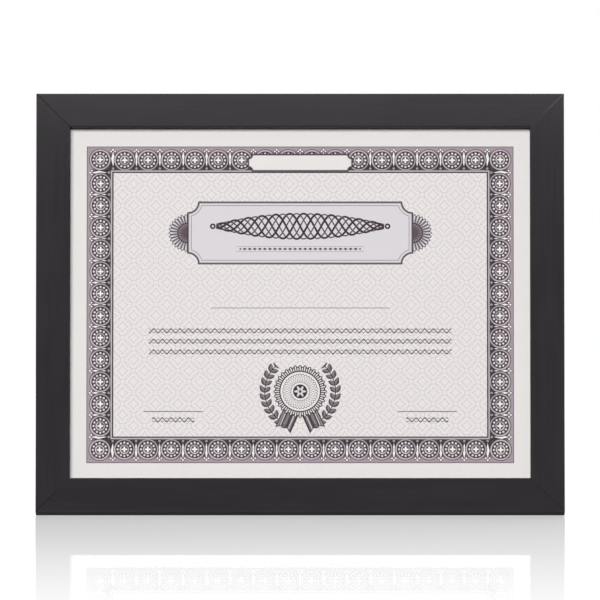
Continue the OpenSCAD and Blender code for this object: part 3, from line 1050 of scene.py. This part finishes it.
def dress(material: bpy.types.Material, *nodes: str) -> None:
    """Gives CAD nodes a material.

    Args:
        material: The material.
        nodes: The nodes' names.
    """
    for node in nodes:
        for slot in frame["nodes"][node].material_slots:
            slot.material = material
        log.info("dressed %s in %s", node, material.name)


def placed(name: str, data: bpy.types.ID) -> bpy.types.Object:
    """Adds an object to the scene.

    Args:
        name: The object's name.
        data: Its mesh, light or camera.

    Returns:
        The new object.
    """
    made = bpy.data.objects.new(name, data)
    bpy.context.scene.collection.objects.link(made)
    return made


def meshed(name: str, mesh: bmesh.types.BMesh, finish: bpy.types.Material) -> bpy.types.Object:
    """Adds an object with a mesh to the scene.

    Args:
        name: The object's name.
        mesh: Its mesh, in metres, which is freed.
        finish: Its material.

    Returns:
        The new object.
    """
    data = bpy.data.meshes.new(name)
    mesh.to_mesh(data)
    mesh.free()
    data.materials.append(finish)
    return placed(name, data)


def aim(thing: bpy.types.Object, target: Vector, azimuth: float, elevation: float, distance: float) -> None:
    """Puts a lamp or the camera round a target and points it there.

    Args:
        thing: The lamp or camera.
        target: The place that it looks at.
        azimuth: Its turn from the front, in degrees.
        elevation: Its height over level, in degrees.
        distance: How far off it is.
    """
    turn, rise = math.radians(azimuth), math.radians(elevation)
    way = Vector((math.sin(turn) * math.cos(rise), -math.cos(turn) * math.cos(rise), math.sin(rise)))
    thing.location = target + way * distance
    thing.rotation_mode = "QUATERNION"
    thing.rotation_quaternion = way.to_track_quat("Z", "Y")


def piece(name: str, mesh: bmesh.types.BMesh, finish: bpy.types.Material, body: str,
          smooth: bool = True) -> bpy.types.Object:
    """Makes a piece of the object from a mesh.

    Args:
        name: The piece's name.
        mesh: Its mesh, in metres, which is freed.
        finish: Its material.
        body: The CAD body that it rides on.
        smooth: Whether its faces are shaded smooth.

    Returns:
        The new object.
    """
    bmesh.ops.recalc_face_normals(mesh, faces=mesh.faces)
    made = meshed(name, mesh, finish)
    for face in made.data.polygons:
        face.use_smooth = smooth
    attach(made, body)
    log.info("made %s, %d faces", name, len(made.data.polygons))
    return made


def stitched(mesh: bmesh.types.BMesh, rings: list[list[Vector]], closed_ends: bool = True) -> None:
    """Joins rings of points, each with as many points, into a tube.

    Args:
        mesh: The mesh that the tube is added to.
        rings: The rings in order.
        closed_ends: Whether the first and last ring are filled.
    """
    made = [[mesh.verts.new(point) for point in ring] for ring in rings]
    count = len(made[0])
    for first, second in zip(made, made[1:]):
        for i in range(count):
            j = (i + 1) % count
            mesh.faces.new((first[i], first[j], second[j], second[i]))
    if closed_ends:
        mesh.faces.new(made[0][::-1])
        mesh.faces.new(made[-1])


@dataclass
class Moulding:
    """The four mitred rails and the nails that join them."""

    nails: str = "corner_nails"
    rails: dict[str, SatinPaint] = field(default_factory=lambda: {
        "rail_top": SatinPaint(Grain.ACROSS, 0.5), "rail_bottom": SatinPaint(Grain.ACROSS, 0.5),
        "rail_left": SatinPaint(Grain.UPRIGHT, 0.38), "rail_right": SatinPaint(Grain.UPRIGHT, 0.38),
    })

    def dress(self, zinc: bpy.types.Material) -> None:
        """Paints the rails, each along its grain, and plates the nails.

        Args:
            zinc: The zinc plate's material.
        """
        for rail, paint in self.rails.items():
            dress(paint.material("satin_paint_" + rail), rail)
        dress(zinc, self.nails)


@dataclass
class Glazing:
    """What the rabbet holds before the back: the pane, the printed sheet and the filler."""

    clearance: float = 0.04
    ground_edge: float = 0.35

    def build(self) -> bpy.types.Object:
        """Makes the pane with ground edges, in the place of its CAD node.

        Returns:
            The pane.
        """
        half_w, half_h = (AXES.extent("glass", way)[1] for way in (AXES.right, AXES.up))
        front, back = AXES.extent("glass", AXES.back)
        mesh = bmesh.new()
        rings = []
        steps = ((front + self.clearance, self.ground_edge), (front + self.clearance + self.ground_edge, 0.0),
                 (back - self.clearance - self.ground_edge, 0.0), (back - self.clearance, self.ground_edge))
        for deep, inset in steps:
            rings.append([AXES.point(a * (half_w - inset), b * (half_h - inset), deep) for a, b in CORNERS])
        stitched(mesh, rings)
        pane = piece("glass_pane", mesh, ClearPane().material("clear_pane"), "frame", smooth=False)
        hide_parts("glass")
        return pane

    def dress(self) -> None:
        """Prints the sheet and finishes the filler."""
        dress(CertificatePrint().material("certificate_print"), "certificate")
        dress(GreyCard().material("grey_card"), "filler_board")


@dataclass
class Backing:
    """The back panel and what is fixed to the frame's back."""

    bumper: str = "wall_bumpers"
    bumper_round: float = 0.7
    bumper_steps: int = 40
    round_steps: int = 5
    glue_gap: float = 0.02
    fuzz: float = 0.12
    fuzz_pitch: float = 1.7
    cap_shares: tuple[float, ...] = (0.7, 0.45, 0.2, 0.05)
    fittings: tuple[str, ...] = ("button_screws", "sawtooth_top", "sawtooth_side", "hanger_nails",
                                 "turn_button_top_left", "turn_button_top_right", "turn_button_bottom_left",
                                 "turn_button_bottom_right", "turn_button_left", "turn_button_right")

    def build(self) -> list[bpy.types.Object]:
        """Makes the two felt bumpers, in the place of their CAD node.

        Returns:
            The left and the right bumper.
        """
        felt = PressedFelt().material("pressed_felt")
        low, high = AXES.extent(self.bumper, AXES.up)
        base, top = AXES.extent(self.bumper, AXES.back)
        radius, level = (high - low) / 2, (high + low) / 2
        edge = AXES.extent(self.bumper, AXES.right)[1] - radius
        made = []
        for side, name in ((-1, "wall_bumper_left"), (1, "wall_bumper_right")):
            mesh = bmesh.new()
            profile = self.profile(radius, base + self.glue_gap, top)
            stitched(mesh, [self.ring(side * edge, level, r, d) for r, d in profile])
            pad = piece(name, mesh, felt, "frame")
            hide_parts(self.bumper)
            made.append(pad)
        return made

    def profile(self, radius: float, base: float, top: float) -> list[tuple[float, float]]:
        """The radii and depths of a bumper's rings.

        Args:
            radius: The bumper's radius.
            base: Depth of its glued face.
            top: Depth of its outer face.

        Returns:
            Pairs of radius and depth from the base to the middle of the outer face.
        """
        bend, wide, high = self.bumper_round, radius - self.fuzz, top - self.fuzz
        edge = [(wide, base), (wide, (base + top) / 2)]
        for k in range(self.round_steps + 1):
            turn = math.pi / 2 * k / self.round_steps
            edge.append((wide - bend + bend * math.cos(turn), high - bend + bend * math.sin(turn)))
        return edge + [(radius * share, high) for share in self.cap_shares]

    def ring(self, across: float, up: float, radius: float, deep: float) -> list[Vector]:
        """One ring of a bumper, made a little uneven as felt is.

        Args:
            across: Distance of its middle right of the sheet's middle.
            up: Distance above it.
            radius: The ring's radius.
            deep: Its depth.

        Returns:
            The ring's points.
        """
        points = []
        for i in range(self.bumper_steps):
            turn = FULL_TURN * i / self.bumper_steps
            x, y = across + radius * math.cos(turn), up + radius * math.sin(turn)
            lift = noise.noise(Vector((x, y, deep)) * self.fuzz_pitch) * self.fuzz
            x, y = x + lift * math.cos(turn), y + lift * math.sin(turn)
            points.append(AXES.point(x, y, deep + abs(lift) / 2))
        return points

    def dress(self, zinc: bpy.types.Material) -> None:
        """Faces the panel with black paper and plates the fittings.

        Args:
            zinc: The zinc plate's material.
        """
        front, back = AXES.extent("back_panel", AXES.back)
        middle = AXES.point(0, 0, (front + back) / 2)
        board = FacedBoard(AXES.back, middle, (back - front) / 2)
        dress(board.material("faced_board_panel"), "back_panel")
        dress(zinc, *self.fittings)


@dataclass
class Easel:
    """The strut, its hinge and the ribbon that stays it."""

    tab: float = 9.0
    bend: float = 1.6
    sag: float = 1.3
    thin: float = 0.2
    thick: float = 0.27
    keep: float = 0.015
    selvedge: float = 0.8
    seat_gap: float = 0.02
    edge_share: float = 0.55
    edge_reach: float = 0.01
    columns: int = 14
    span_steps: int = 20
    tab_steps: int = 8
    bend_steps: int = 6
    metal: tuple[str, ...] = ("hinge_fixed_leaf", "hinge_moving_leaf", "hinge_pin", "panel_rivets",
                              "strut_rivets", "stay_staple_panel", "stay_staple_strut")
    ribbon: str = "stay_ribbon"

    def __post_init__(self) -> None:
        """Works out which way the open strut points."""
        joint = next(j for j in frame["joints"] if j["name"] == "strut_fold")
        opened = math.radians(joint["range_deg"][1])
        self.down = AXES.back * math.sin(opened) - AXES.up * math.cos(opened)
        self.rear = AXES.back * math.cos(opened) + AXES.up * math.sin(opened)

    def flat_place(self, node: str) -> tuple[float, float]:
        """Where the middle of a node's box is.

        Args:
            node: The CAD node's name.

        Returns:
            Its depth and height off the sheet's middle.
        """
        low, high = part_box(node)
        offset = (low + high) / 2 - AXES.middle
        return offset.dot(AXES.back) / MM, offset.dot(AXES.up) / MM

    def path(self) -> list[tuple[float, float]]:
        """The line that the ribbon's inner face follows, as depths and heights.

        Returns:
            Points up the panel, over the span and down the strut.
        """
        panel = AXES.extent("back_panel", AXES.back)[1]
        strut_face = AXES.extent("strut", self.rear)[0]
        _, panel_level = self.flat_place("stay_staple_panel")
        deep, high = self.flat_place("stay_staple_strut")
        down = (self.down.dot(AXES.back), self.down.dot(AXES.up))
        rear = (self.rear.dot(AXES.back), self.rear.dot(AXES.up))
        fix = strut_face - (deep * rear[0] + high * rear[1])
        seat = (deep + fix * rear[0], high + fix * rear[1])
        half, steps, tabs = self.tab / 2, self.span_steps, self.tab_steps
        leave = (panel, panel_level + half)
        meet = (seat[0] - half * down[0], seat[1] - half * down[1])
        end = (seat[0] + half * down[0], seat[1] + half * down[1])
        span = []
        for k in range(1, steps):
            share = k / steps
            drop = self.sag * 4 * share * (1 - share)
            level = leave[1] + (meet[1] - leave[1]) * share
            span.append((leave[0] + (meet[0] - leave[0]) * share, level - drop))
        start = [(panel, panel_level - half + self.tab * k / tabs) for k in range(tabs)]
        finish = []
        for k in range(1, tabs + 1):
            finish.append((meet[0] + (end[0] - meet[0]) * k / tabs, meet[1] + (end[1] - meet[1]) * k / tabs))
        return self.eased(start + [leave] + span + [meet] + finish, (tabs, tabs + steps))

    def eased(self, points: list[tuple[float, float]], corners: tuple[int, int]) -> list[tuple[float, float]]:
        """Rounds the two corners of a line with a bend of even size.

        Args:
            points: The line.
            corners: Which of its points are corners.

        Returns:
            The line with each corner in small steps.
        """
        eased = []
        for i, point in enumerate(points):
            if i not in corners:
                if all(math.dist(point, points[c]) > self.bend for c in corners):
                    eased.append(point)
                continue
            before, after = Vector(points[i - 1]), Vector(points[i + 1])
            corner = Vector(point)
            start = corner + (before - corner).normalized() * self.bend
            end = corner + (after - corner).normalized() * self.bend
            for k in range(self.bend_steps + 1):
                t = k / self.bend_steps
                eased.append(tuple(start * (1 - t) ** 2 + corner * 2 * t * (1 - t) + end * t ** 2))
        return eased

    def section(self, point: Vector, side: Vector, half: float) -> list[Vector]:
        """One ring of the ribbon: its inner face from left to right, then its outer face back.

        Args:
            point: Depth and height of the inner face.
            side: The way its outer face looks, as depth and height.
            half: Half its width.

        Returns:
            The ring's points.
        """
        xs = [half * (2 * i / self.columns - 1) for i in range(self.columns + 1)]
        lifts = [self.seat_gap] * len(xs)
        for x in reversed(xs):
            lift = self.thick if half - abs(x) < self.selvedge else self.thin
            lifts.append(lift * (self.edge_share if half - abs(x) < self.edge_reach else 1.0))
        places = zip(xs + xs[::-1], lifts)
        return [AXES.point(x, point.y + side.y * lift, point.x + side.x * lift) for x, lift in places]

    def build(self) -> bpy.types.Object:
        """Makes the ribbon as a woven strip, in the place of its CAD node.

        Returns:
            The ribbon.
        """
        half = AXES.extent(self.ribbon, AXES.right)[1]
        line = [Vector(p) for p in self.path()]
        rings, length = [], 0.0
        for i, point in enumerate(line):
            before, after = line[max(i - 1, 0)], line[min(i + 1, len(line) - 1)]
            run = (after - before).normalized()
            rings.append(self.section(point, Vector((run.y, -run.x)), half))
            length += (point - before).length
        mesh = bmesh.new()
        stitched(mesh, rings)
        ribbon = piece("ribbon_stay", mesh, SatinWeave(half, AXES.back).material("satin_weave"), "frame")
        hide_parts(self.ribbon)
        flat = (2 * half * MM, length * MM)
        anchor = AXES.point(0, 0, AXES.extent("back_panel", AXES.back)[1])
        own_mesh(ribbon)
        log.info("ribbon is %.1f mm long", length)
        return ribbon

    def dress(self, zinc: bpy.types.Material) -> None:
        """Faces the strut with black paper and plates its metal.

        Args:
            zinc: The zinc plate's material.
        """
        front, back = AXES.extent("strut", self.rear)
        middle = AXES.middle + self.rear * ((front + back) / 2 * MM)
        dress(FacedBoard(self.rear, middle, (back - front) / 2).material("faced_board_strut"), "strut")
        dress(zinc, *self.metal)


@dataclass(frozen=True)
class Lamp:
    """A soft lamp that looks at the object, or at a place above its middle."""

    name: str
    azimuth: float
    elevation: float
    distance: float
    size: tuple[float, float]
    level: float
    above: float = 0.0
    in_gloss: bool = False
    in_shade: bool = True

    def build(self, target: Vector) -> None:
        """Hangs the lamp.

        Args:
            target: The object's middle.
        """
        light = bpy.data.lights.new(self.name, "AREA")
        light.shape = "RECTANGLE"
        light.size, light.size_y = self.size
        light.energy = self.level * (math.pi * self.distance) ** 2
        lamp = placed(self.name, light)
        aim(lamp, target + AXES.up * self.above, self.azimuth, self.elevation, self.distance)
        lamp.visible_camera = False
        lamp.visible_glossy = self.in_gloss
        lamp.visible_diffuse = self.in_shade
        log.info("hung lamp %s", self.name)


@dataclass
class Studio:
    """The camera, the lamps, the white surroundings and the polished floor."""

    target: Vector = field(default_factory=lambda: Vector((-0.0001, 0.0, 0.1270)))
    distance: float = 9.0
    elevation: float = 2.65
    lens: float = 907.3
    ambient: float = 0.08
    clip: tuple[float, float] = (0.1, 200.0)
    floor_half: float = 30.0
    floor_pale: float = 0.5
    floor_rough: float = 0.01
    lit_reach: float = 1.8
    whitening: float = 0.865
    foot_reach: float = 0.006
    foot_shade: float = 0.4
    mirror_bend: float = 1.45
    mirror_share: float = 0.657
    mirror_fall: float = 0.321
    lamps: tuple[Lamp, ...] = (
        Lamp("key", -7.0, 15.5, 4.0, (1.05, 0.7), 0.74),
        Lamp("fill", 0.0, 6.0, 5.0, (0.8, 0.8), 0.26),
        Lamp("strip", 0.0, 38.0, 0.153, (0.62, 0.05), 2.3, above=0.11, in_gloss=True, in_shade=False),
        Lamp("behind", 158.0, 22.0, 2.4, (3.0, 1.6), 0.62, in_gloss=True),
    )

    def build(self) -> None:
        """Makes the whole studio."""
        self.camera()
        for lamp in self.lamps:
            lamp.build(self.target)
        self.world()
        self.floor()

    def camera(self) -> None:
        """Sets the camera at the photograph's angle."""
        data = bpy.data.cameras.new("camera")
        data.lens = self.lens
        data.clip_start, data.clip_end = self.clip
        camera = placed("camera", data)
        aim(camera, self.target, 0.0, self.elevation, self.distance)
        bpy.context.scene.camera = camera

    def world(self) -> None:
        """Makes the surroundings white to sight, gloss and glass, and a dim even light to the rest."""
        world = bpy.data.worlds.new("studio")
        bpy.context.scene.world = world
        tree = Tree(world)
        dim = tree.node("Background", None, {"Color": WHITE, "Strength": self.ambient})
        bright = tree.node("Background", None, {"Color": WHITE, "Strength": 1.0})
        shade = tree.blend(self.sight(tree)[0], dim, bright)
        tree.node("OutputWorld", None, {"Surface": shade.outputs[0]})

    def sight(self, tree: Tree) -> tuple[Value, Value, Value]:
        """Tells the rays that meet a point apart.

        Args:
            tree: The node tree of the floor or the world.

        Returns:
            Masks of all rays that see the point, of the camera's own and of glossy ones.
        """
        rays = tree.node("LightPath").outputs
        kinds = ("Is Camera Ray", "Is Glossy Ray", "Is Transmission Ray")
        camera, glossy, through = (Value(tree, rays[kind]) for kind in kinds)
        return camera | glossy | through, camera, glossy

    def floor(self) -> None:
        """Lays the floor: white with the object's shadow, and a mirror that fades towards the viewer."""
        material = bpy.data.materials.new("studio_floor")
        tree = Tree(material)
        parts = tree.node("SeparateXYZ", None, {0: tree.place()}).outputs
        x, y = Value(tree, parts[0]), Value(tree, parts[1])
        seen, camera_ray, glossy_ray = self.sight(tree)
        low, high = CAD_BOX
        past = ((abs(x) - high[0]) | 0.0).length((y - high[1]) | (low[1] - y) | 0.0)
        # Painted shade: within foot_reach of the object's foot, the floor's white glow is cut by foot_shade
        # for glossy rays.
        under = past.ramp(self.foot_reach, 0.0) * glossy_ray * self.foot_shade
        glow = tree.mix(under, (self.whitening,) * 3 + (1.0,), (0.0, 0.0, 0.0, 1.0))
        pale = tree.node("Emission", None, {"Color": glow, "Strength": 1.0})
        lit = tree.node("BsdfDiffuse", None, {"Color": (self.floor_pale,) * 3 + (1.0,)})
        both = tree.node("AddShader", None, {0: lit.outputs[0], 1: pale.outputs[0]})
        white = tree.node("Emission", None, {"Color": WHITE, "Strength": 1.0})
        dim = tree.node("Emission", None, {"Color": WHITE, "Strength": self.ambient})
        near = 1 - x.length(y).ramp(self.lit_reach * 0.6, self.lit_reach)
        ground = tree.blend(seen, dim, tree.blend(near, white, both))
        gloss = tree.node("BsdfAnisotropic", None, {"Color": WHITE, "Roughness": self.floor_rough})
        fresnel = Value(tree, tree.node("Fresnel", None, {"IOR": self.mirror_bend}).outputs[0])
        share = fresnel * self.mirror_fall ** past * camera_ray * self.mirror_share
        tree.surface(tree.blend(share, ground, gloss))
        mesh = bmesh.new()
        mesh.faces.new([mesh.verts.new((a * self.floor_half, b * self.floor_half, 0.0)) for a, b in CORNERS])
        meshed("studio_floor", mesh, material)


def main() -> None:
    """Builds the studio, then each sub-assembly in order."""
    logging.basicConfig(level=logging.INFO, format="%(message)s")
    bpy.context.scene.view_settings.view_transform = "Standard"
    Studio().build()
    zinc = ZincPlate().material("zinc_plate")
    Moulding().dress(zinc)
    glazing = Glazing()
    glazing.build()
    glazing.dress()
    backing = Backing()
    backing.build()
    backing.dress(zinc)
    easel = Easel()
    easel.build()
    easel.dress(zinc)


if __name__ == "__main__":
    main()
